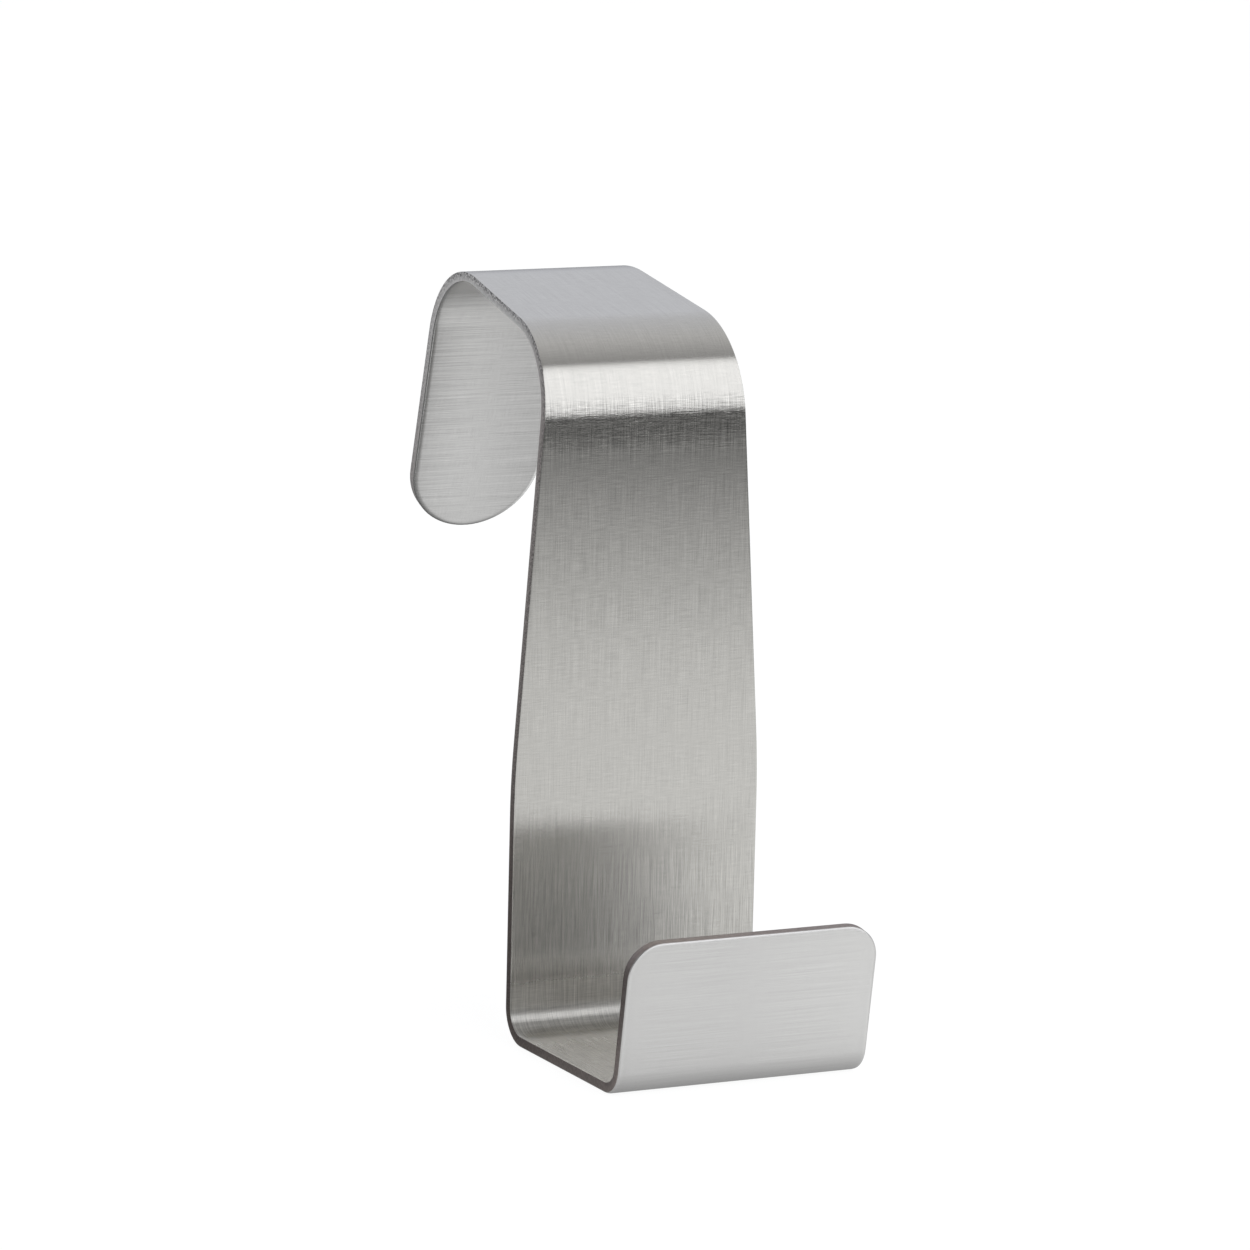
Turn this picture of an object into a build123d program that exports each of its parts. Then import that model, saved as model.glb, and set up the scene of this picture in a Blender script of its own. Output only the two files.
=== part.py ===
from build123d import *
from math import acos, atan2, cos, hypot, radians, sin, tan
import os

# Over door hook: one strip of sheet steel, blanked to a tapering outline and folded cold.
#
# Frame, in millimetres. The origin is on the middle of the plate's back, where its flat ends and
# the top bend begins: the door's top front edge comes here. +X runs across the strip, +Y points
# into the door, away from the room, and +Z points up.

# The sheet
sheet = 1.2                 # thickness
strip_width = 30.0          # width of the lip, the floor and the lower plate

# The folds, front to back. A bend is given by the radius on its hollow side.
lip_length = 14.6           # flat part of the upturned lip
lip_lean = 9.0              # degrees that the lip leans away from the plate
lip_bend = 2.2
floor_length = 21.0         # flat part of the floor that things hang on
foot_bend = 2.8
plate_height = 64.8         # flat part of the plate
door_bend = 9.5             # from the plate to the top
top_length = 14.1           # flat part of the top
top_rise = 10.9             # degrees that the top climbs towards the back
back_bend = 11.8            # from the top to the tab
tab_length = 26.2           # flat part of the tab, up to its tip
tab_flare = 22.7            # degrees that the tab stands away from the door

# The flat outline
shoulder_height = 25.3      # flat plate below the shoulder, where the straight sides would meet
shoulder_radius = 120.0     # the long blend at the shoulder
tip_radius = 8.0            # full round end of the tab
lip_corner = 3.9            # radius of the lip's two corners
rolled_edge = 0.35          # rounding that blanking leaves along the door side of the outline

# The blanking tool reaches past both faces of the sheet and past its sides
overrun = 0.5

# The bends on the sheet's mid-plane, where its length doesn't change in folding
mid = sheet / 2
lip_mid = lip_bend + mid
foot_mid = foot_bend + mid
door_mid = door_bend + mid
back_mid = back_bend + mid
lip_turn = 90 - lip_lean
door_turn = 90 - top_rise
back_turn = 90 + top_rise - tab_flare

# The sides narrow in a straight line from the shoulder until they touch the round tip. Their angle
# on the flat strip is that of the tangent from the shoulder's corner to the tip's circle.
shoulder_z = shoulder_height - plate_height
narrowing_runs = [
    -shoulder_z,
    door_mid * radians(door_turn),
    top_length,
    back_mid * radians(back_turn),
    tab_length,
]
half_width = strip_width / 2
centre_run = sum(narrowing_runs) - tip_radius
side_angle = acos(tip_radius / hypot(half_width, centre_run)) - atan2(centre_run, half_width)

# Half the width at each end of each run, from the shoulder to the tab's tip
half_widths = [half_width]
for run in narrowing_runs:
    half_widths.append(half_widths[-1] - run * tan(side_angle))


def lower_line(depth):
    """The folds from the shoulder to the lip's top, a distance to the door side of the mid-plane."""
    with BuildLine(Plane.YZ) as line:
        plate = Line((depth - mid, shoulder_z), (depth - mid, -plate_height))
        foot_arc = JernArc(plate @ 1, plate % 1, foot_mid + depth, -90)
        floor = PolarLine(foot_arc @ 1, floor_length, direction=foot_arc % 1)
        lip_arc = JernArc(floor @ 1, floor % 1, lip_mid + depth, -lip_turn)
        PolarLine(lip_arc @ 1, lip_length, direction=lip_arc % 1)
    return line.wire()


def upper_line(depth):
    """The folds from the shoulder to the tab's tip, a distance to the door side of the mid-plane."""
    with BuildLine(Plane.YZ) as line:
        plate = Line((depth - mid, shoulder_z), (depth - mid, 0))
        door_arc = JernArc(plate @ 1, plate % 1, door_mid - depth, -door_turn)
        top = PolarLine(door_arc @ 1, top_length, direction=door_arc % 1)
        back_arc = JernArc(top @ 1, top % 1, back_mid - depth, -back_turn)
        PolarLine(back_arc @ 1, tab_length, direction=back_arc % 1)
    return line.wire()


# The blank's outline, carried round the folds and thicker than the sheet
with BuildPart() as outline:
    outline_depth = mid + overrun
    outline_sheet = sheet + 2 * overrun
    make_brake_formed(outline_sheet, half_width, line=lower_line(outline_depth), side=Side.RIGHT)
    make_brake_formed(outline_sheet, half_widths, line=upper_line(outline_depth), side=Side.LEFT)
    mirror(about=Plane.YZ)

with BuildPart() as hook:
    # The folded sheet, wider than the blank, cut to the outline
    make_brake_formed(sheet, strip_width, line=lower_line(mid), side=Side.RIGHT)
    make_brake_formed(sheet, strip_width, line=upper_line(mid), side=Side.LEFT)
    mirror(about=Plane.YZ)
    add(outline.part, mode=Mode.INTERSECT)

    # The lip's corners
    lip_line = lower_line(0)
    through_lip = Axis((0, 0, 0), Vector(1, 0, 0).cross(lip_line % 1))
    lip_edges = hook.edges().filter_by(through_lip)
    for side in (-half_width, half_width):
        corner = lip_line @ 1 + Vector(side, 0, 0)
        fillet(lip_edges.sort_by_distance(corner)[0], lip_corner)

    # The shoulders, where a long arc takes off the corner between the straight sides
    ease = shoulder_radius * tan(side_angle / 2)
    below = Vector(half_width, shoulder_z - ease)
    above = Vector(half_width - ease * sin(side_angle), shoulder_z + ease * cos(side_angle))
    outside = half_width + overrun
    with BuildSketch(Plane.XZ):
        with BuildLine():
            TangentArc(below, above, tangent=(0, 1))
            Polyline(above, (outside, above.Y), (outside, below.Y), below)
        make_face()
        mirror(about=Plane.YZ)
    extrude(amount=2 * sheet, both=True, mode=Mode.SUBTRACT)

    # The tab's full round end
    tab_line = upper_line(0)
    through_tab = Vector(1, 0, 0).cross(tab_line % 1)
    with BuildSketch(Plane(tab_line @ 1, x_dir=(1, 0, 0), z_dir=through_tab)):
        Rectangle(strip_width, tip_radius * (1 - sin(side_angle)), align=(Align.CENTER, Align.MAX))
        with Locations((0, -tip_radius)):
            Circle(tip_radius, mode=Mode.SUBTRACT)
    extrude(amount=sheet, both=True, mode=Mode.SUBTRACT)

    # Blanking rolls the door side of the whole outline, which runs on smoothly from the tip's arc
    fillet(hook.edges().sort_by_distance(upper_line(mid) @ 1)[0], rolled_edge)

hook.part.label = "hook"

os.makedirs("parts", exist_ok=True)
export_step(hook.part, "parts/hook.step")
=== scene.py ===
from math import acos, atan2, ceil, cos, hypot, pi, radians, sin, sqrt, tan

import bmesh
import bpy
from mathutils import Matrix, Vector


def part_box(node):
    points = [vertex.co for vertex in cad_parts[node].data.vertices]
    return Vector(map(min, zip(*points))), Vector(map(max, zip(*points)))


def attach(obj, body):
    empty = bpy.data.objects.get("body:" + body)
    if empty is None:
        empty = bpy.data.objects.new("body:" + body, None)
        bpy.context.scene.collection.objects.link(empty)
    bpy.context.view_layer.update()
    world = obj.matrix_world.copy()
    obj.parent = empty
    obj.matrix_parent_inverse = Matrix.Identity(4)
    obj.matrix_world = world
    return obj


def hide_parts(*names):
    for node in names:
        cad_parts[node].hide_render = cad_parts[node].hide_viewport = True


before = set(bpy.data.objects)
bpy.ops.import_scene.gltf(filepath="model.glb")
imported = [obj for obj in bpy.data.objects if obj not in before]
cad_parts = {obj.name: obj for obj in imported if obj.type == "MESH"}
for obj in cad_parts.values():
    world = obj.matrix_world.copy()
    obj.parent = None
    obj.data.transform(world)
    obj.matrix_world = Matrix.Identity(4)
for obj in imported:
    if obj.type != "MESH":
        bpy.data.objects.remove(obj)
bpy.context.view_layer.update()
hook_low, hook_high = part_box("hook")

# Over door hook: one strip of brushed sheet steel, blanked to a tapering outline and folded cold.
# It is made here as it is in the press shop: the flat blank is drawn and its rims are shaped, then
# the ends are folded away from the plate, bend by bend.

MM = 0.001

# The sheet
SHEET = 1.2 * MM
HALF_WIDTH = hook_high[0]

# The folds, as flat lengths and as radii on the sheet's mid-plane
LIP_LENGTH = 14.6 * MM
LIP_TURN = 81.0
LIP_RADIUS = 2.2 * MM + SHEET / 2
FLOOR_LENGTH = 21.0 * MM
FOOT_TURN = 90.0
FOOT_RADIUS = 2.8 * MM + SHEET / 2
PLATE_HEIGHT = 64.8 * MM
DOOR_TURN = 79.1
DOOR_RADIUS = 9.5 * MM + SHEET / 2
TOP_LENGTH = 14.1 * MM
BACK_TURN = 78.2
BACK_RADIUS = 11.8 * MM + SHEET / 2
TAB_LENGTH = 26.2 * MM

# The blank's outline
SHOULDER = 25.3 * MM - PLATE_HEIGHT
SHOULDER_RADIUS = 120.0 * MM
TIP_RADIUS = 8.0 * MM
LIP_CORNER = 3.9 * MM

# The rims: the punch rolls the door side over, and leaves a crisp edge on the other side
ROLL_WIDTH = 0.55 * MM
ROLL_DEPTH = 0.18 * MM
ROLL_ROUNDS = 6
CRISP_WIDTH = 0.06 * MM
CRISP_DEPTH = 0.05 * MM
CRISP_ROUNDS = 2
FLAT_BORDER = 0.15 * MM

# How finely the blank is divided: degrees a row in the bends and round corners, height of flat rows
BEND_STEP = 3.0
ROUND_STEP = 5.0
FLAT_STEP = 2.0 * MM

# How squarely a face of the flat blank has to turn to the room or to the door: to be one of its two
# flats, and to be brushed with them rather than be part of the cut edge
FLAT_FACING = 0.9
ROOM_FACING = 0.85
DOOR_FACING = 0.2

# The normals: the largest angle that is shaded smooth, and how much more the flats count there
SMOOTH_ANGLE = radians(40)
FLATS_WEIGHT = 100


def bend_rows(turn):
    """How many rows a bend is folded in."""
    return round(turn / BEND_STEP)


def bend_row_height(radius, turn):
    """Flat height of one row of a bend: the chord of its share of the turn."""
    return 2 * radius * sin(radians(turn) / bend_rows(turn) / 2)


def bend_length(radius, turn):
    """Flat length of a whole bend."""
    return bend_rows(turn) * bend_row_height(radius, turn)


# Where each run of the flat strip ends. The plate keeps its place, so its own height is used, with
# the folds towards the tab above it and those towards the lip below.
FOOT_TOP = -PLATE_HEIGHT
FLOOR_BACK = FOOT_TOP - bend_length(FOOT_RADIUS, FOOT_TURN)
FLOOR_FRONT = FLOOR_BACK - FLOOR_LENGTH
LIP_BOTTOM = FLOOR_FRONT - bend_length(LIP_RADIUS, LIP_TURN)
LIP_TOP = LIP_BOTTOM - LIP_LENGTH
TOP_FRONT = bend_length(DOOR_RADIUS, DOOR_TURN)
TOP_BACK = TOP_FRONT + TOP_LENGTH
TAB_TOP = TOP_BACK + bend_length(BACK_RADIUS, BACK_TURN)
TIP = TAB_TOP + TAB_LENGTH

# The tapering side is the tangent from the shoulder's corner to the tip's circle
TIP_CENTRE = TIP - TIP_RADIUS
SIDE_ANGLE = (
    acos(TIP_RADIUS / hypot(HALF_WIDTH, TIP_CENTRE - SHOULDER))
    - atan2(TIP_CENTRE - SHOULDER, HALF_WIDTH)
)
TIP_START = TIP_CENTRE + TIP_RADIUS * sin(SIDE_ANGLE)

# The arc that takes off the corner at the shoulder
EASE = SHOULDER_RADIUS * tan(SIDE_ANGLE / 2)
EASE_START = SHOULDER - EASE
EASE_END = SHOULDER + EASE * cos(SIDE_ANGLE)

# The plate's mid-plane, and the length on the flat strip that one UV unit stands for
PLATE_MIDDLE = -SHEET / 2
UV_SPAN = 4 * HALF_WIDTH


def half_width_at(height):
    """Half the flat strip's width at a height."""
    if height < LIP_TOP + LIP_CORNER:
        rest = LIP_TOP + LIP_CORNER - height
        return HALF_WIDTH - LIP_CORNER + sqrt(max(0.0, LIP_CORNER**2 - rest**2))
    if height < EASE_START:
        return HALF_WIDTH
    if height < EASE_END:
        return HALF_WIDTH - SHOULDER_RADIUS + sqrt(SHOULDER_RADIUS**2 - (height - EASE_START) ** 2)
    if height < TIP_START:
        return HALF_WIDTH - (height - SHOULDER) * tan(SIDE_ANGLE)
    return sqrt(TIP_RADIUS**2 - (height - TIP_CENTRE) ** 2)


def strip_rows():
    """Heights of the lines between the rows of the flat strip, from the lip's top to the tip."""
    corner_rows = round(90 / ROUND_STEP)
    rows = [
        LIP_TOP + LIP_CORNER * (1 - cos(pi / 2 * row / corner_rows)) for row in range(corner_rows)
    ]
    runs = (
        (LIP_TOP + LIP_CORNER, LIP_BOTTOM, None),
        (LIP_BOTTOM, FLOOR_FRONT, LIP_TURN),
        (FLOOR_FRONT, FLOOR_BACK, None),
        (FLOOR_BACK, FOOT_TOP, FOOT_TURN),
        (FOOT_TOP, EASE_START, None),
        (EASE_START, EASE_END, None),
        (EASE_END, 0.0, None),
        (0.0, TOP_FRONT, DOOR_TURN),
        (TOP_FRONT, TOP_BACK, None),
        (TOP_BACK, TAB_TOP, BACK_TURN),
        (TAB_TOP, TIP_START, None),
    )
    for start, end, turn in runs:
        count = bend_rows(turn) if turn else ceil((end - start) / FLAT_STEP)
        rows += [start + (end - start) * row / count for row in range(count)]
    tip_rows = round(90 / ROUND_STEP)
    tip_step = (pi / 2 - SIDE_ANGLE) / (tip_rows + 0.5)
    rows += [
        TIP_CENTRE + TIP_RADIUS * sin(SIDE_ANGLE + row * tip_step) for row in range(tip_rows + 1)
    ]
    return rows


def select_faces(wanted):
    """Selects, in edit mode, the faces for which the rule holds."""
    mesh = bmesh.from_edit_mesh(bpy.context.edit_object.data)
    for face in mesh.faces:
        face.select_set(wanted(face))
    bmesh.update_edit_mesh(bpy.context.edit_object.data)


def draw_blank():
    """The flat strip's mid-plane, standing in the plate's place, drawn row by row from the lip's top."""
    rows = strip_rows()
    bpy.ops.object.select_all(action="DESELECT")
    bpy.ops.mesh.primitive_plane_add(size=1, location=(0, 0, 0), rotation=(pi / 2, 0, 0))
    blank = bpy.context.object
    blank.name = "hook_sheet"
    blank.data.name = "hook_sheet"
    bpy.ops.object.transform_apply(location=True, rotation=True, scale=True)
    bpy.ops.object.mode_set(mode="EDIT")
    bpy.ops.mesh.select_mode(type="VERT")
    bpy.ops.mesh.select_all(action="SELECT")
    first_row = rows[1] - rows[0]
    bpy.ops.transform.resize(
        value=(2 * half_width_at(rows[0]), 1, first_row), center_override=(0, 0, 0)
    )
    bpy.ops.transform.translate(value=(0, PLATE_MIDDLE, rows[0] + first_row / 2))
    mesh = bmesh.from_edit_mesh(blank.data)
    for vertex in mesh.verts:
        vertex.select_set(vertex.co.z > rows[0] + first_row / 2)
    mesh.select_flush(False)
    bmesh.update_edit_mesh(blank.data)
    bpy.ops.transform.resize(
        value=(half_width_at(rows[1]) / half_width_at(rows[0]), 1, 1),
        center_override=(0, PLATE_MIDDLE, rows[1]),
    )
    for here, above in zip(rows[1:], rows[2:]):
        bpy.ops.mesh.extrude_region_move(TRANSFORM_OT_translate={"value": (0, 0, above - here)})
        bpy.ops.transform.resize(
            value=(half_width_at(above) / half_width_at(here), 1, 1),
            center_override=(0, PLATE_MIDDLE, above),
        )
    bpy.ops.object.mode_set(mode="OBJECT")
    return blank


def give_thickness(blank):
    """The sheet's thickness, half to each side of its mid-plane."""
    thickness = blank.modifiers.new("thickness", "SOLIDIFY")
    thickness.thickness = SHEET
    thickness.offset = 0
    bpy.ops.object.modifier_apply(modifier=thickness.name)
    bpy.ops.object.mode_set(mode="EDIT")
    bpy.ops.mesh.select_all(action="SELECT")
    bpy.ops.mesh.normals_make_consistent(inside=False)
    bpy.ops.object.mode_set(mode="OBJECT")


def round_rim(side, width, depth, rounds):
    """Rounds the outline of one face of the blank. The side is 1 for the door side, -1 for the other."""
    bpy.ops.object.mode_set(mode="EDIT")
    bpy.ops.mesh.select_mode(type="FACE")
    select_faces(lambda face: face.normal.y * side > FLAT_FACING)
    bpy.ops.transform.translate(value=(0, -side * depth, 0))
    turn = pi / 2 / rounds
    for step in range(rounds):
        inward = width * (cos(step * turn) - cos((step + 1) * turn))
        outward = depth * (sin((step + 1) * turn) - sin(step * turn))
        bpy.ops.mesh.inset(thickness=inward, depth=outward, use_even_offset=True)
    bpy.ops.mesh.inset(thickness=FLAT_BORDER, depth=0, use_even_offset=True)
    bpy.ops.object.mode_set(mode="OBJECT")


def mark_flat_places(blank):
    """Keeps each point's place on the flat strip, also as its UV, and half the width there."""
    blank.data.attributes.new("flat_place", "FLOAT_VECTOR", "POINT")
    blank.data.attributes.new("flat_half_width", "FLOAT", "POINT")
    places = blank.data.attributes["flat_place"]
    half_widths = blank.data.attributes["flat_half_width"]
    for vertex in blank.data.vertices:
        places.data[vertex.index].vector = vertex.co
        half_widths.data[vertex.index].value = half_width_at(vertex.co.z)
    across_along = blank.data.uv_layers["UVMap"]
    for loop in blank.data.loops:
        place = blank.data.vertices[loop.vertex_index].co
        across_along.data[loop.index].uv = (place.x / UV_SPAN + 0.5, place.z / UV_SPAN)


def give_finishes(blank, room_side, door_side, cut_edge):
    """The room side, the door side and the cut edge each get their own finish."""
    for finish in (room_side, door_side, cut_edge):
        blank.data.materials.append(finish)
    for face in blank.data.polygons:
        if face.normal.y < -ROOM_FACING:
            face.material_index = 0
        elif face.normal.y > DOOR_FACING:
            face.material_index = 1
        else:
            face.material_index = 2


def fold_beyond(mesh, height, downwards, angle, centre):
    """Turns what lies beyond a line across the strip about that line, towards the hollow side."""
    flat_place = mesh.verts.layers.float_vector["flat_place"]
    for vertex in mesh.verts:
        beyond = vertex[flat_place].z < height if downwards else vertex[flat_place].z > height
        vertex.select_set(beyond)
    mesh.select_flush(False)
    bmesh.update_edit_mesh(bpy.context.edit_object.data)
    bpy.ops.transform.rotate(value=angle, orient_axis="X", center_override=centre)


def fold_strip(blank, downwards, start, bends):
    """Folds one end of the strip away from the plate. Each bend has its radius, turn and next flat."""
    bpy.ops.object.mode_set(mode="EDIT")
    bpy.ops.mesh.select_mode(type="VERT")
    sign = -1 if downwards else 1
    height = start
    centre = Vector((0, PLATE_MIDDLE, start))
    heading = Vector((0, 0, sign))
    for radius, turn, flat in bends:
        row_height = bend_row_height(radius, turn)
        half_step = radians(turn) / bend_rows(turn) / 2
        half_turn = Matrix.Rotation(-half_step, 3, "X")
        for _ in range(bend_rows(turn)):
            mesh = bmesh.from_edit_mesh(blank.data)
            middle = height + sign * row_height / 2
            fold_beyond(mesh, middle, downwards, half_step, centre)
            heading = half_turn @ heading
            centre = centre + heading * row_height
            fold_beyond(mesh, middle, downwards, half_step, centre)
            heading = half_turn @ heading
            height += sign * row_height
        centre = centre + heading * flat
        height += sign * flat
    bpy.ops.mesh.select_all(action="DESELECT")
    bpy.ops.object.mode_set(mode="OBJECT")


def finish_normals(piece):
    """Smooth bends and rims beside flats that stay flat."""
    bpy.ops.object.shade_smooth_by_angle(angle=SMOOTH_ANGLE, keep_sharp_edges=True)
    flats = piece.modifiers.new("flats", "WEIGHTED_NORMAL")
    flats.keep_sharp = True
    flats.weight = FLATS_WEIGHT
    bpy.ops.object.modifier_apply(modifier=flats.name)


def make_hook(room_side, door_side, cut_edge):
    """The whole hook, from the flat blank to the last fold."""
    hook = draw_blank()
    give_thickness(hook)
    round_rim(1, ROLL_WIDTH, ROLL_DEPTH, ROLL_ROUNDS)
    round_rim(-1, CRISP_WIDTH, CRISP_DEPTH, CRISP_ROUNDS)
    mark_flat_places(hook)
    give_finishes(hook, room_side, door_side, cut_edge)
    fold_strip(
        hook, True, FOOT_TOP,
        ((FOOT_RADIUS, FOOT_TURN, FLOOR_LENGTH), (LIP_RADIUS, LIP_TURN, LIP_LENGTH)),
    )
    fold_strip(
        hook, False, 0.0,
        ((DOOR_RADIUS, DOOR_TURN, TOP_LENGTH), (BACK_RADIUS, BACK_TURN, TAB_LENGTH)),
    )
    finish_normals(hook)
    return hook


def add_node(tree, kind, inputs=(), **settings):
    """Adds a node, sets its options, and links or sets its inputs."""
    new = tree.nodes.new(kind)
    for name, value in settings.items():
        setattr(new, name, value)
    for name, value in dict(inputs).items():
        if isinstance(value, bpy.types.NodeSocket):
            tree.links.new(value, new.inputs[name])
        else:
            new.inputs[name].default_value = value
    return new


def compute(tree, operation, first, second=0.0, third=0.0):
    """The result of one Math node."""
    step = add_node(tree, "ShaderNodeMath", {0: first, 1: second, 2: third}, operation=operation)
    return step.outputs[0]


def vector_math(tree, operation, first, second=(0, 0, 0)):
    """One Vector Math node, which has a Vector and a Value output."""
    return add_node(tree, "ShaderNodeVectorMath", {0: first, 1: second}, operation=operation)


def fade(tree, value, start, end, first=0.0, last=1.0, smooth=True):
    """Goes from the first level to the last while a value goes from start to end, and holds beyond."""
    step = add_node(tree, "ShaderNodeMapRange", {
        "Value": value, "From Min": start, "From Max": end, "To Min": first, "To Max": last,
    }, interpolation_type="SMOOTHSTEP" if smooth else "LINEAR")
    return step.outputs[0]


def level_ramp(tree, value, levels):
    """A level that follows a list of (value, level) pairs, with the values from low to high."""
    low, high = levels[0][0], levels[-1][0]
    share = fade(tree, value, low, high, smooth=False)
    ramp = add_node(tree, "ShaderNodeValToRGB", {"Fac": share})
    stops = ramp.color_ramp.elements
    while len(stops) < len(levels):
        stops.new(0.5)
    for stop, (at, level) in zip(stops, levels):
        stop.position = (at - low) / (high - low)
        stop.color = (level, level, level, 1)
    return ramp.outputs["Color"]


def mix_colours(tree, share, first, second):
    """A colour between two, by the share of the second."""
    mix = add_node(tree, "ShaderNodeMix", {0: share, 6: first, 7: second}, data_type="RGBA")
    return mix.outputs[2]


def toned_colour(tree, colour, tone):
    """A colour made lighter or darker by a tone."""
    scaled = add_node(tree, "ShaderNodeVectorMath", {0: colour, "Scale": tone}, operation="SCALE")
    return scaled.outputs[0]


def bumped_normal(tree, height, depth):
    """The normal over a relief, on which a height of 1 is as high as the depth."""
    bump = add_node(tree, "ShaderNodeBump", {"Strength": 1.0, "Distance": depth, "Height": height})
    return bump.outputs[0]


# The noise behind the grain: how many finer levels it has, and how strong each is next to the last
GRAIN_DETAIL = 3.0
GRAIN_ROUGHNESS = 0.72


def make_brush_grain():
    """A group for streaks of a width across and a length along, as a level from 0 to 1."""
    grain = bpy.data.node_groups.new("brush_grain", "ShaderNodeTree")
    for socket in ("Across", "Along", "Width", "Length", "Layer"):
        grain.interface.new_socket(socket, in_out="INPUT", socket_type="NodeSocketFloat")
    grain.interface.new_socket("Streaks", in_out="OUTPUT", socket_type="NodeSocketFloat")
    entry = grain.nodes.new("NodeGroupInput")
    way_out = grain.nodes.new("NodeGroupOutput")
    across = compute(grain, "DIVIDE", entry.outputs["Across"], entry.outputs["Width"])
    along = compute(grain, "DIVIDE", entry.outputs["Along"], entry.outputs["Length"])
    place = add_node(
        grain, "ShaderNodeCombineXYZ", {"X": across, "Y": along, "Z": entry.outputs["Layer"]}
    )
    noise = add_node(grain, "ShaderNodeTexNoise", {
        "Vector": place.outputs[0], "Scale": 1.0, "Detail": GRAIN_DETAIL, "Roughness": GRAIN_ROUGHNESS,
    })
    grain.links.new(noise.outputs["Fac"], way_out.inputs["Streaks"])
    return grain


def streaks(tree, grain, across, along, size):
    """The brush grain at one size: a streak's width and length, and the layer of noise it is cut from."""
    width, length, layer = size
    inputs = {"Across": across, "Along": along, "Width": width, "Length": length, "Layer": layer}
    return add_node(tree, "ShaderNodeGroup", inputs, node_tree=grain).outputs[0]


def new_material(name):
    """An empty material with a Principled shader on its output."""
    material = bpy.data.materials.new(name)
    material.use_nodes = True
    tree = material.node_tree
    tree.nodes.clear()
    shader = tree.nodes.new("ShaderNodeBsdfPrincipled")
    output = tree.nodes.new("ShaderNodeOutputMaterial")
    tree.links.new(shader.outputs["BSDF"], output.inputs["Surface"])
    return material, tree, shader


def kept_attribute(tree, name):
    """The node that reads what mark_flat_places kept under a name."""
    return add_node(
        tree, "ShaderNodeAttribute", (), attribute_name=name, attribute_type="GEOMETRY"
    )


def flat_axes(tree):
    """The three directions of the flat strip: across it, through it and along it."""
    place = kept_attribute(tree, "flat_place")
    axes = add_node(tree, "ShaderNodeSeparateXYZ", {"Vector": place.outputs["Vector"]})
    return axes.outputs["X"], axes.outputs["Y"], axes.outputs["Z"]


def distance_from_side(tree, across_strip):
    """How far a point is from the nearer side of the strip."""
    half_width = kept_attribute(tree, "flat_half_width")
    from_middle = compute(tree, "ABSOLUTE", across_strip)
    return compute(tree, "SUBTRACT", half_width.outputs["Fac"], from_middle)


# The grain's sizes: a streak's width and length, and the layer of noise it is cut from
BROAD_PATCHES = (0.8 * MM, 25 * MM, 7.3)
CROSS_SCRATCHES = (0.12 * MM, 2.2 * MM, 3.1)
FOLD_CRACKS = (0.24 * MM, 1.1 * MM, 9.4)
TEARS = (0.18 * MM, 0.4 * MM, 1.7)
BURRS = (0.28 * MM, 0.30 * MM, 5.9)

# The grain's middle level, its share in the relief, and how deep the relief is
MIDDLE_LEVEL = 0.5
GRAIN_RELIEF = 0.6
GRAIN_DEPTH = 0.002 * MM

# How satin the brushed steel is, and how much more so in the bend at the foot
SATIN = 0.245
FOLD_FADE = 3.0 * MM
MATT_LEVELS = (
    (LIP_TOP, 0.0), (FLOOR_FRONT, 0.0), (FLOOR_BACK - FOLD_FADE, 0.03), (FLOOR_BACK, 0.15),
    (FOOT_TOP, 0.2), (FOOT_TOP + FOLD_FADE, 0.0), (TIP, 0.0),
)

# Two borders along the sides of the strip, by their distances from the side: a painted shade along
# the sides, and a painted highlight on the rolled rim
BORDER_START = 0.2 * MM
BORDER_WIDTH = 1.6 * MM
RIM_START = 0.25 * MM
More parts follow.
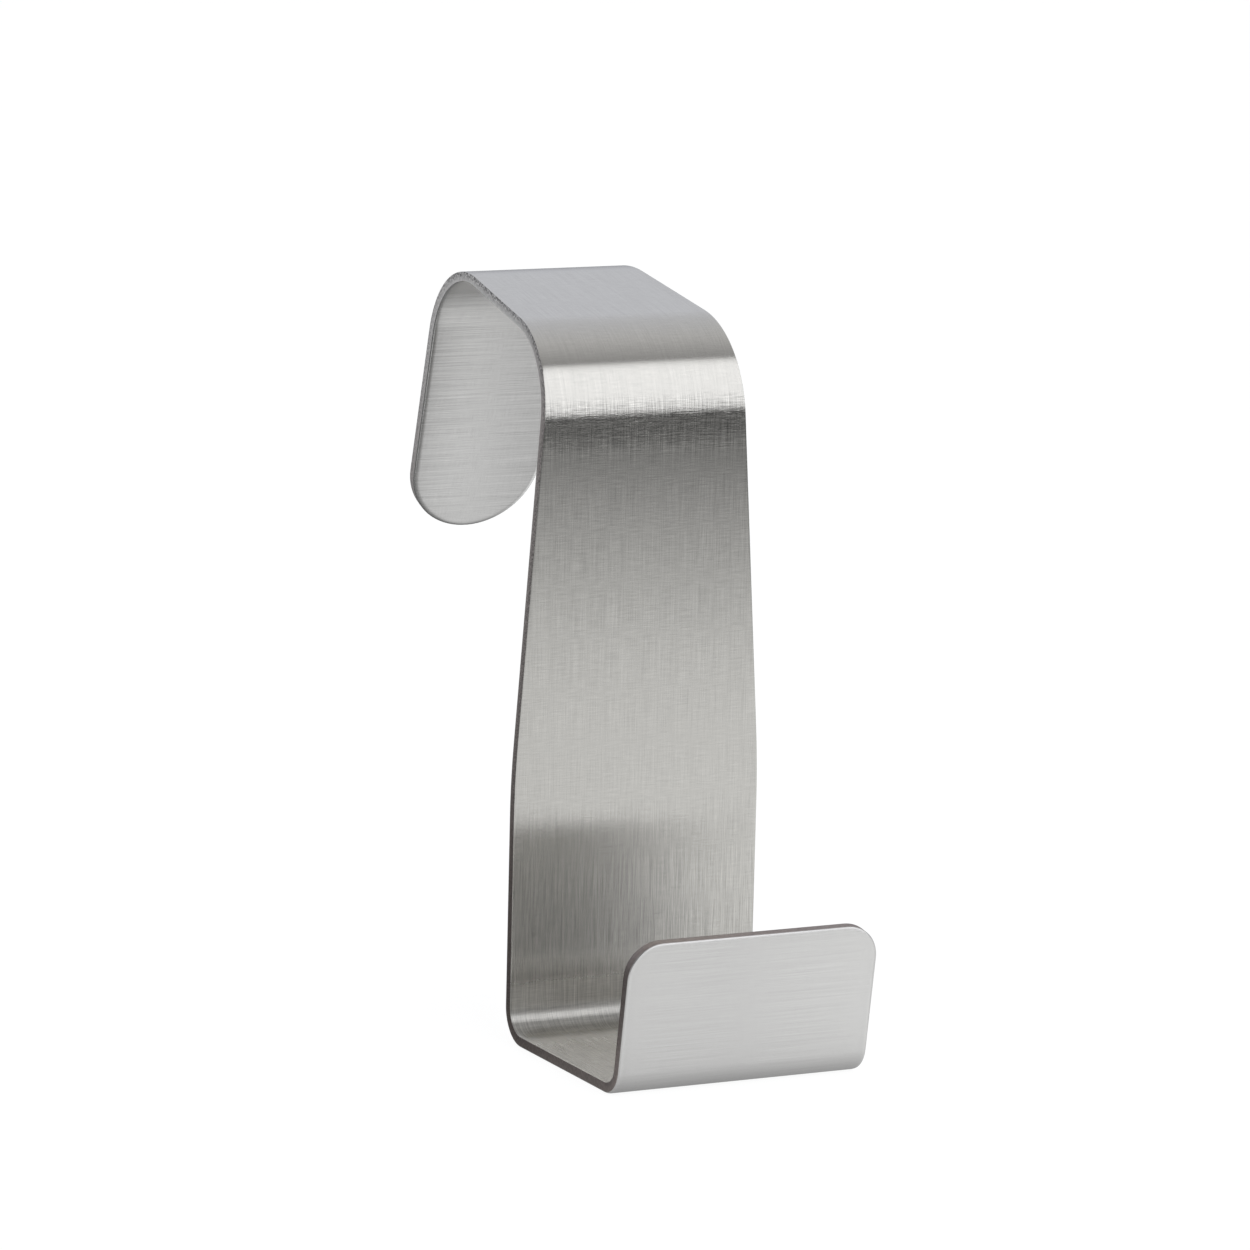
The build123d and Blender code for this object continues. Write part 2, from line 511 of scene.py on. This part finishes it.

# What the two brushing belts left, what folding did to it, and the light and shade painted into the
# steel's colour. The levels are in pairs of a height on the flat strip and a level there:
# contrast, how strongly the grain shows;
# crossings, how much of it is short scratches across the belt's run;
# opened, how far folding has roughened the surface;
# painted_reflection, painted highlights, reflections and shade, lighter or darker along the strip;
# painted_edge_shade, how much darker a painted shade makes the border along the sides;
# painted_rim_highlight, how much lighter a painted highlight makes the rolled rim.
NOWHERE = ((LIP_TOP, 0.0), (TIP, 0.0))
LENGTHWISE_BELT = {
    "lengthwise": True,
    "steel": (0.602, 0.588, 0.554),
    "streak": (0.11 * MM, 6 * MM, 0.0),
    "patchiness": 0.08,
    "contrast": (
        (LIP_TOP, 0.9), (FOOT_TOP, 1.5), (FOOT_TOP + 12 * MM, 1.3), (FOOT_TOP + 20 * MM, 0.55),
        (FOOT_TOP + 30 * MM, 0.4), (SHOULDER, 0.45), (-15 * MM, 0.8), (-4 * MM, 0.9),
        (-2.8 * MM, 2.0), (1.5 * MM, 2.0), (2.5 * MM, 0.3), (TOP_FRONT * 0.5, 0.3), (TIP, 0.5),
    ),
    "crossings": (
        (LIP_TOP, 0.6), (FOOT_TOP, 0.4), (FOOT_TOP + 12 * MM, 0.25), (FOOT_TOP + 25 * MM, 0.8),
        (TIP, 0.8),
    ),
    "opened": (
        (LIP_TOP, 0.0), (FLOOR_BACK, 0.5), (FOOT_TOP - 1.5 * MM, 2.5), (FOOT_TOP + 0.5 * MM, 0.3),
        (FOOT_TOP + 25 * MM, 0.0), (-3.5 * MM, 0.1), (-1.5 * MM, 3.0), (1.8 * MM, 3.0),
        (3.5 * MM, 0.3), (TOP_FRONT, 0.0), (TIP, 0.0),
    ),
    "painted_reflection": (
        (LIP_TOP, 0.80), (LIP_BOTTOM, 0.80), (FLOOR_FRONT, 0.90), (FLOOR_BACK - FOLD_FADE, 1.5),
        (FLOOR_BACK - 0.4 * MM, 1.6), (FLOOR_BACK + 0.3 * MM, 1.55), (FLOOR_BACK + 0.9 * MM, 1.2),
        (FOOT_TOP - 3.2 * MM, 0.82), (FOOT_TOP - 2.4 * MM, 1.0), (FOOT_TOP - 1.4 * MM, 1.2),
        (FOOT_TOP - 0.5 * MM, 1.05), (FOOT_TOP + 0.5 * MM, 0.82), (FOOT_TOP + 6 * MM, 0.95),
        (FOOT_TOP + 12 * MM, 1.0), (FOOT_TOP + 20 * MM, 0.98), (-3.4 * MM, 1.0), (-2.6 * MM, 0.78),
        (-1.8 * MM, 0.66), (-0.4 * MM, 0.66), (0.4 * MM, 0.76), (1.0 * MM, 0.82), (2.2 * MM, 1.0),
        (TIP, 1.0),
    ),
    "painted_edge_shade": NOWHERE,
    "painted_rim_highlight": NOWHERE,
}
CROSSWISE_BELT = {
    "lengthwise": False,
    "steel": (0.597, 0.589, 0.574),
    "streak": (0.07 * MM, 14 * MM, 0.0),
    "patchiness": 0.03,
    "contrast": ((LIP_TOP, 0.32), (FOOT_TOP, 0.32), (TAB_TOP, 1.2), (TIP, 1.0)),
    "crossings": ((LIP_TOP, 0.25), (TIP, 0.25)),
    "opened": NOWHERE,
    "painted_reflection": (
        (LIP_TOP, 1.02), (FOOT_TOP, 1.02), (TOP_BACK, 1.45), (TAB_TOP - 2 * FOLD_FADE, 1.4),
        (TAB_TOP - FOLD_FADE, 1.12), (TAB_TOP, 0.90), (TIP, 0.98),
    ),
    "painted_edge_shade": (
        (LIP_TOP, 0.02), (FOOT_TOP, 0.02), (TOP_BACK, 0.15), (TAB_TOP, 0.08), (TIP, 0.0),
    ),
    "painted_rim_highlight": ((LIP_TOP, 0.05), (FOOT_TOP, 0.05), (TOP_BACK, 0.3), (TIP, 0.3)),
}


def brushed_tone(tree, belt, fine, cross, cross_weight):
    """How light the brushed steel is: its grain, painted highlights, reflections and shade along the
    strip, painted shade along its sides and a painted highlight on its rolled rim.
    """
    across_strip, _, along_strip = flat_axes(tree)
    from_side = distance_from_side(tree, across_strip)
    fine_shade = compute(tree, "SUBTRACT", fine, MIDDLE_LEVEL)
    cross_shade = compute(tree, "SUBTRACT", cross, MIDDLE_LEVEL)
    shade = compute(tree, "MULTIPLY_ADD", cross_shade, cross_weight, fine_shade)
    contrast = level_ramp(tree, along_strip, belt["contrast"])
    tone = compute(tree, "MULTIPLY_ADD", shade, contrast, 1.0)
    # Painted highlights, reflections and shade along the strip, multiplied into the steel's colour
    tone = compute(tree, "MULTIPLY", tone, level_ramp(tree, along_strip, belt["painted_reflection"]))
    # Painted shade along the sides of the strip
    border = fade(tree, from_side, BORDER_START, BORDER_WIDTH, 1.0, 0.0)
    darker = compute(tree, "MULTIPLY", border, level_ramp(tree, along_strip, belt["painted_edge_shade"]))
    unshaded = compute(tree, "SUBTRACT", 1.0, darker)
    tone = compute(tree, "MULTIPLY", tone, unshaded)
    # A painted highlight on the rolled rim
    rim = fade(tree, from_side, RIM_START, ROLL_WIDTH, 1.0, 0.0, smooth=False)
    lightening = compute(tree, "MULTIPLY", rim, level_ramp(tree, along_strip, belt["painted_rim_highlight"]))
    return compute(tree, "MULTIPLY_ADD", tone, lightening, tone)


def brushed_material(name, grain, belt):
    """Brushed sheet, as one of the two belts left it."""
    material, tree, shader = new_material(name)
    across_strip, _, along_strip = flat_axes(tree)
    if belt["lengthwise"]:
        across, along = across_strip, along_strip
    else:
        across, along = along_strip, across_strip
    fine = streaks(tree, grain, across, along, belt["streak"])
    broad = streaks(tree, grain, across, along, BROAD_PATCHES)
    cross = streaks(tree, grain, along, across, CROSS_SCRATCHES)
    crack = streaks(tree, grain, along_strip, across_strip, FOLD_CRACKS)
    cross_weight = level_ramp(tree, along_strip, belt["crossings"])
    tone = brushed_tone(tree, belt, fine, cross, cross_weight)
    height = compute(tree, "MULTIPLY_ADD", cross, cross_weight, fine)
    height = compute(tree, "MULTIPLY", height, GRAIN_RELIEF)
    opened = level_ramp(tree, along_strip, belt["opened"])
    height = compute(tree, "MULTIPLY_ADD", cross, opened, height)
    height = compute(tree, "MULTIPLY_ADD", crack, opened, height)
    patchiness = belt["patchiness"]
    rough = compute(tree, "MULTIPLY_ADD", broad, patchiness, SATIN - patchiness / 2)
    rough = compute(tree, "ADD", rough, level_ramp(tree, along_strip, MATT_LEVELS))
    tangent = add_node(tree, "ShaderNodeTangent", (), direction_type="UV_MAP", uv_map="UVMap")
    tree.links.new(toned_colour(tree, belt["steel"], tone), shader.inputs["Base Color"])
    tree.links.new(rough, shader.inputs["Roughness"])
    tree.links.new(bumped_normal(tree, height, GRAIN_DEPTH), shader.inputs["Normal"])
    tree.links.new(tangent.outputs[0], shader.inputs["Tangent"])
    shader.inputs["Metallic"].default_value = 1.0
    shader.inputs["Anisotropic"].default_value = 1.0
    shader.inputs["Anisotropic Rotation"].default_value = 0.0 if belt["lengthwise"] else 0.25
    return material


# The cut edge: how rough it is, how deep it is torn, and its darkest tone and what a tear adds
EDGE_ROUGHNESS = 0.5
TEAR_DEPTH = 0.03 * MM
DARKEST_TONE = 0.35
TEAR_CONTRAST = 1.2

# It is brownish, and its levels along the strip say where it is paler, how much darker it is round the J
# and how badly it is torn
BROWN_EDGE = (0.36, 0.305, 0.28, 1)
PALE_EDGE = (0.86, 0.85, 0.84, 1)
PALER_EDGE_LEVELS = (
    (LIP_TOP, 0.05), (FOOT_TOP + 12 * MM, 0.0), (SHOULDER, 0.14), (0.0, 0.32),
    (TOP_FRONT * 0.6, 0.65), (TOP_FRONT, 0.9), (TAB_TOP - FOLD_FADE, 0.85), (TIP, 0.4),
)
EDGE_TONE_LEVELS = (
    (LIP_TOP, 0.95), (LIP_BOTTOM, 0.8), (FLOOR_FRONT, 0.66), (FLOOR_BACK, 0.66),
    (FOOT_TOP + FOLD_FADE, 0.85), (SHOULDER, 1.0), (TIP, 1.0),
)
TORN_LEVELS = (
    (LIP_TOP, 0.2), (FOOT_TOP, 0.2), (SHOULDER, 0.5), (0.0, 0.6), (TOP_FRONT * 0.5, 1.0),
    (TOP_BACK + 2 * FOLD_FADE, 1.0), (TAB_TOP - FOLD_FADE, 0.4), (TIP, 0.4),
)

# It is torn on the room side. A nick starts and is full at these levels of the burrs, and a full one
# takes this much of the light. Between nicks the metal is a little lighter.
SOUND_EDGE = -SHEET * 0.30
TORN_RIM = -SHEET * 0.75
NICK_START = 0.44
NICK_FULL = 0.58
BETWEEN_NICKS = -0.1
IN_NICK = 0.85


def sheared_material(name, grain):
    """The cut edge: torn metal, brownish up the plate, darker round the J and paler round the top and the
    tab.
    """
    material, tree, shader = new_material(name)
    across, through, along = flat_axes(tree)
    sideways = compute(tree, "ADD", across, along)
    tear = streaks(tree, grain, sideways, through, TEARS)
    lightening = level_ramp(tree, along, PALER_EDGE_LEVELS)
    tint = mix_colours(tree, lightening, BROWN_EDGE, PALE_EDGE)
    tone = compute(tree, "MULTIPLY_ADD", tear, TEAR_CONTRAST, DARKEST_TONE)
    tone = compute(tree, "MULTIPLY", tone, level_ramp(tree, along, EDGE_TONE_LEVELS))
    burr = streaks(tree, grain, along, through, BURRS)
    nick = fade(tree, burr, NICK_START, NICK_FULL, BETWEEN_NICKS, IN_NICK, smooth=False)
    at_rim = fade(tree, through, SOUND_EDGE, TORN_RIM, smooth=False)
    torn = compute(tree, "MULTIPLY", nick, at_rim)
    torn = compute(tree, "MULTIPLY", torn, level_ramp(tree, along, TORN_LEVELS))
    whole = compute(tree, "SUBTRACT", 1.0, torn)
    tone = compute(tree, "MULTIPLY", tone, whole)
    tree.links.new(toned_colour(tree, tint, tone), shader.inputs["Base Color"])
    tree.links.new(bumped_normal(tree, tear, TEAR_DEPTH), shader.inputs["Normal"])
    shader.inputs["Metallic"].default_value = 1.0
    shader.inputs["Roughness"].default_value = EDGE_ROUGHNESS
    return material


# The camera's place, as the photograph shows the hook: seen from the left and a little above
VIEW_AZIMUTH = radians(26.70)
VIEW_ELEVATION = radians(10.38)
VIEW_ROLL = radians(1.41)
VIEW_TARGET = Vector((0, -0.6 * MM, -22.6 * MM))
VIEW_DISTANCE = 714.9 * MM
LENS = 186.9
SENSOR = 36
PICTURE = 1250
TARGET_PIXEL = (638.55, 621.38)


def place_camera():
    """The camera at the photograph's angle, with the hook where it is in the picture."""
    back = Vector((
        -sin(VIEW_AZIMUTH) * cos(VIEW_ELEVATION),
        -cos(VIEW_AZIMUTH) * cos(VIEW_ELEVATION),
        sin(VIEW_ELEVATION),
    ))
    level_right = Vector((cos(VIEW_AZIMUTH), -sin(VIEW_AZIMUTH), 0))
    level_up = back.cross(level_right)
    right = level_right * cos(VIEW_ROLL) + level_up * sin(VIEW_ROLL)
    up = level_up * cos(VIEW_ROLL) - level_right * sin(VIEW_ROLL)
    settings = bpy.data.cameras.new("camera")
    camera = bpy.data.objects.new("camera", settings)
    bpy.context.scene.collection.objects.link(camera)
    camera.matrix_world = (
        Matrix.Translation(VIEW_TARGET + back * VIEW_DISTANCE)
        @ Matrix((right, up, back)).transposed().to_4x4()
    )
    settings.lens = LENS
    settings.sensor_width = SENSOR
    settings.shift_x = (PICTURE / 2 - TARGET_PIXEL[0]) / PICTURE
    settings.shift_y = (TARGET_PIXEL[1] - PICTURE / 2) / PICTURE
    settings.clip_start = 0.01
    settings.clip_end = 50
    bpy.context.scene.camera = camera


# The floor is paper of this grey to the light that falls on it. To the camera it is darker by the
# first step and to the steel by both, because they see its glow as well.
FLOOR_SIZE = 6.0
PAPER_GREY = 0.8
LESS_TO_SIGHT = 0.65
LESS_TO_STEEL = 0.13
CAMERA_GLOW = 0.93
CAMERA_WHITE = (1, 1, 1, 1)
STEEL_WHITE = (0.982, 0.992, 1.006, 1)

# What the steel shows of the floor, in metres from the frame's origin: a painted pool of light in the
# floor's glow, round a centre, which fades towards the left and reaches further left towards the front
POOL_CENTRE = (0.010, -0.060, 0)
POOL_LEVELS = (
    (0.0, 1.08), (0.020, 1.06), (0.060, 0.95), (0.150, 0.91), (0.179, 0.87), (0.203, 0.79),
    (0.227, 0.70), (0.250, 0.62), (0.275, 0.58), (0.300, 0.55), (0.315, 0.51), (0.330, 0.42),
    (0.350, 0.24), (0.430, 0.10),
)
POOL_SLANT = -1.2
POOL_LEFT_END = (-0.04, 0.012, 0.15, 1.0)

# A painted shadow of the hook darkens the floor's glow round its foot: the middle and half the size of
# the J's floor, and the levels by the distance outside it
FOOT_MIDDLE = (0, -0.0135, 0)
FOOT_HALF_SIZE = (0.014, 0.0125, 0)
PAINTED_FOOT_SHADOW_LEVELS = ((0.0, 0.45), (0.003, 0.72), (0.008, 0.93), (0.016, 1.0))

# To the right of the foot, the painted pool is darker on both flanks of a light ridge, painted shade in
# the floor's glow. Each flank has its direction and its levels along that, and both fade out towards the
# front.
NEAR_FLANK = (0.867, 0.498, 0)
NEAR_FLANK_LEVELS = (
    (0.004, 1.0), (0.0105, 0.64), (0.0135, 0.70), (0.0155, 0.82), (0.0172, 0.95), (0.0190, 1.0),
)
FAR_FLANK = (0.939, 0.344, 0)
FAR_FLANK_LEVELS = (
    (0.026, 1.01), (0.0285, 1.05), (0.031, 0.98), (0.034, 0.86), (0.037, 0.76), (0.041, 0.69),
    (0.050, 0.69), (0.070, 1.0),
)
RIDGE_FRONT_END = (-0.07, -0.03)

# The painted pool is a little lighter to the right, and the floor's painted glow behind the hook is light
# again
RIGHTWARDS = (0.879, 0.442, 0)
LIGHTER_TO_RIGHT = (-0.014, 0.014, 0.90, 1.09)
LIGHT_BEHIND = (0.06, 0.35, 0.0, 0.7)


def along_direction(tree, place, direction):
    """How far a place lies along a direction."""
    return vector_math(tree, "DOT_PRODUCT", place, direction).outputs["Value"]


def distance_outside_foot(tree, place):
    """How far a place on the floor is outside the rectangle under the J."""
    from_middle = vector_math(tree, "SUBTRACT", place, FOOT_MIDDLE)
    to_either_side = vector_math(tree, "ABSOLUTE", from_middle.outputs[0])
    past_rim = vector_math(tree, "SUBTRACT", to_either_side.outputs[0], FOOT_HALF_SIZE)
    outside = vector_math(tree, "MAXIMUM", past_rim.outputs[0])
    return vector_math(tree, "LENGTH", outside.outputs[0]).outputs["Value"]


def painted_ridge_on_floor(tree, place, to_back):
    """The painted light ridge and the painted shade on its flanks to the right of the foot, as a factor
    that is 1 elsewhere.
    """
    rise = level_ramp(tree, along_direction(tree, place, NEAR_FLANK), NEAR_FLANK_LEVELS)
    fall = level_ramp(tree, along_direction(tree, place, FAR_FLANK), FAR_FLANK_LEVELS)
    ridge = compute(tree, "MULTIPLY", rise, fall)
    beside_foot = fade(tree, to_back, *RIDGE_FRONT_END)
    over = compute(tree, "SUBTRACT", ridge, 1.0)
    return compute(tree, "MULTIPLY_ADD", over, beside_foot, 1.0)


def painted_floor_glow(tree):
    """How brightly the floor's painted glow shows to the steel at each place."""
    place = tree.nodes.new("ShaderNodeTexCoord").outputs["Object"]
    axes = add_node(tree, "ShaderNodeSeparateXYZ", {"Vector": place})
    to_right, to_back = axes.outputs["X"], axes.outputs["Y"]
    from_pool = vector_math(tree, "DISTANCE", place, POOL_CENTRE)
    # A painted pool of light in the floor's glow
    pool = level_ramp(tree, from_pool.outputs["Value"], POOL_LEVELS)
    slanted = compute(tree, "MULTIPLY_ADD", to_back, POOL_SLANT, to_right)
    shown = compute(tree, "MULTIPLY", pool, fade(tree, slanted, *POOL_LEFT_END))
    # A painted shadow round the hook's foot in the floor's glow
    painted_foot_shadow = level_ramp(tree, distance_outside_foot(tree, place), PAINTED_FOOT_SHADOW_LEVELS)
    shown = compute(tree, "MULTIPLY", shown, painted_foot_shadow)
    # A painted light ridge with painted shade on its flanks
    shown = compute(tree, "MULTIPLY", shown, painted_ridge_on_floor(tree, place, to_back))
    rightwards = along_direction(tree, place, RIGHTWARDS)
    lighter = fade(tree, rightwards, *LIGHTER_TO_RIGHT, smooth=False)
    shown = compute(tree, "MULTIPLY", shown, lighter)
    return compute(tree, "ADD", shown, fade(tree, to_back, *LIGHT_BEHIND))


def make_floor():
    """A plain pale floor under the hook, white to the camera and still darkened by its shadow, and
    glowing to the steel with painted light and painted shade.
    """
    bpy.ops.object.select_all(action="DESELECT")
    bpy.ops.mesh.primitive_plane_add(size=FLOOR_SIZE, location=(0, 0, hook_low[2]))
    floor = bpy.context.object
    floor.name = "floor"
    material = bpy.data.materials.new("pale_floor")
    material.use_nodes = True
    tree = material.node_tree
    tree.nodes.clear()
    rays = tree.nodes.new("ShaderNodeLightPath")
    is_glossy = rays.outputs["Is Glossy Ray"]
    is_camera = rays.outputs["Is Camera Ray"]
    seen = compute(tree, "MAXIMUM", is_camera, is_glossy)
    pale = compute(tree, "MULTIPLY_ADD", seen, -LESS_TO_SIGHT, PAPER_GREY)
    pale = compute(tree, "MULTIPLY_ADD", is_glossy, -LESS_TO_STEEL, pale)
    colour = add_node(tree, "ShaderNodeCombineColor", {"Red": pale, "Green": pale, "Blue": pale})
    paper = add_node(tree, "ShaderNodeBsdfDiffuse", {"Color": colour.outputs[0]})
    camera_glow = compute(tree, "MULTIPLY", is_camera, CAMERA_GLOW)
    glow_level = compute(tree, "MULTIPLY_ADD", painted_floor_glow(tree), is_glossy, camera_glow)
    glow_colour = mix_colours(tree, is_glossy, CAMERA_WHITE, STEEL_WHITE)
    glow = add_node(tree, "ShaderNodeEmission", {"Color": glow_colour, "Strength": glow_level})
    both = add_node(tree, "ShaderNodeAddShader", {0: paper.outputs[0], 1: glow.outputs[0]})
    output = tree.nodes.new("ShaderNodeOutputMaterial")
    tree.links.new(both.outputs[0], output.inputs["Surface"])
    floor.data.materials.append(material)


# The studio round the hook: its levels from front to back, how it darkens towards the floor and
# towards the left, and its tint, which turns from warm to cool towards the back
STUDIO_LEVELS = (
    (-1.0, 0.12), (-0.6, 0.20), (-0.38, 0.43), (-0.18, 0.55), (0.0, 0.66), (0.28, 0.71),
    (0.56, 0.74), (0.75, 0.81), (1.0, 0.85),
)
STUDIO_BOTTOM = (0.0, 0.42, 0.38, 1.0)
STUDIO_LEFT = (-0.7, 0.1, 0.6, 1.0)
COOL_FROM_TO = (0.0, 0.8)
WARM_SIDE = (0.994, 0.998, 1.015, 1)
COOL_SIDE = (0.965, 0.993, 1.083, 1)


def make_world():
    """A studio with a pale cool back and a darker front, and a white background for the camera."""
    world = bpy.data.worlds.new("studio")
    bpy.context.scene.world = world
    world.use_nodes = True
    tree = world.node_tree
    tree.nodes.clear()
    rays = tree.nodes.new("ShaderNodeLightPath")
    direction = tree.nodes.new("ShaderNodeTexCoord")
    axes = add_node(tree, "ShaderNodeSeparateXYZ", {"Vector": direction.outputs["Generated"]})
    dome = level_ramp(tree, axes.outputs["Y"], STUDIO_LEVELS)
    level = compute(tree, "MULTIPLY", dome, fade(tree, axes.outputs["Z"], *STUDIO_BOTTOM))
    level = compute(tree, "MULTIPLY", level, fade(tree, axes.outputs["X"], *STUDIO_LEFT))
    cool = fade(tree, axes.outputs["Y"], *COOL_FROM_TO, smooth=False)
    tint = mix_colours(tree, cool, WARM_SIDE, COOL_SIDE)
    studio = add_node(tree, "ShaderNodeBackground", {"Color": tint, "Strength": level})
    white = add_node(tree, "ShaderNodeBackground", {"Color": (1, 1, 1, 1), "Strength": 1.0})
    choice = add_node(tree, "ShaderNodeMixShader", {
        0: rays.outputs["Is Camera Ray"], 1: studio.outputs[0], 2: white.outputs[0],
    })
    output = tree.nodes.new("ShaderNodeOutputWorld")
    tree.links.new(choice.outputs[0], output.inputs["Surface"])


# The softbox: where it stands from the hook, how high it reaches as seen from there, and its light
SOFTBOX_DIRECTION = Vector((0.442, -0.879, 0)).normalized()
SOFTBOX_DISTANCE = 0.8
SOFTBOX_LOW = SOFTBOX_DISTANCE * tan(radians(-1.8))
SOFTBOX_HIGH = SOFTBOX_DISTANCE * tan(radians(52))
SOFTBOX_WIDTH = 1.3
SOFTBOX_RADIANCE = 1.37
SOFTBOX_TINT = (0.985, 0.999, 1.034)


def light_studio():
    """A tall softbox to the front right, which the top bend shows as its white band."""
    height = SOFTBOX_HIGH - SOFTBOX_LOW
    middle = Vector((0, 0, (SOFTBOX_LOW + SOFTBOX_HIGH) / 2))
    lamp = bpy.data.lights.new("front_softbox", "AREA")
    lamp.shape = "RECTANGLE"
    lamp.size = SOFTBOX_WIDTH
    lamp.size_y = height
    lamp.energy = SOFTBOX_RADIANCE * pi * SOFTBOX_WIDTH * height
    lamp.color = SOFTBOX_TINT
    stand = bpy.data.objects.new("front_softbox", lamp)
    bpy.context.scene.collection.objects.link(stand)
    stand.location = SOFTBOX_DIRECTION * SOFTBOX_DISTANCE + middle
    stand.rotation_euler = (-SOFTBOX_DIRECTION).to_track_quat("-Z", "Y").to_euler()


grain = make_brush_grain()
hook = make_hook(
    brushed_material("lengthwise_brushed_steel", grain, LENGTHWISE_BELT),
    brushed_material("crosswise_brushed_steel", grain, CROSSWISE_BELT),
    sheared_material("sheared_steel_edge", grain),
)
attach(hook, "root")
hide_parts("hook")

make_floor()
make_world()
light_studio()
place_camera()
bpy.context.scene.view_settings.view_transform = "Standard"
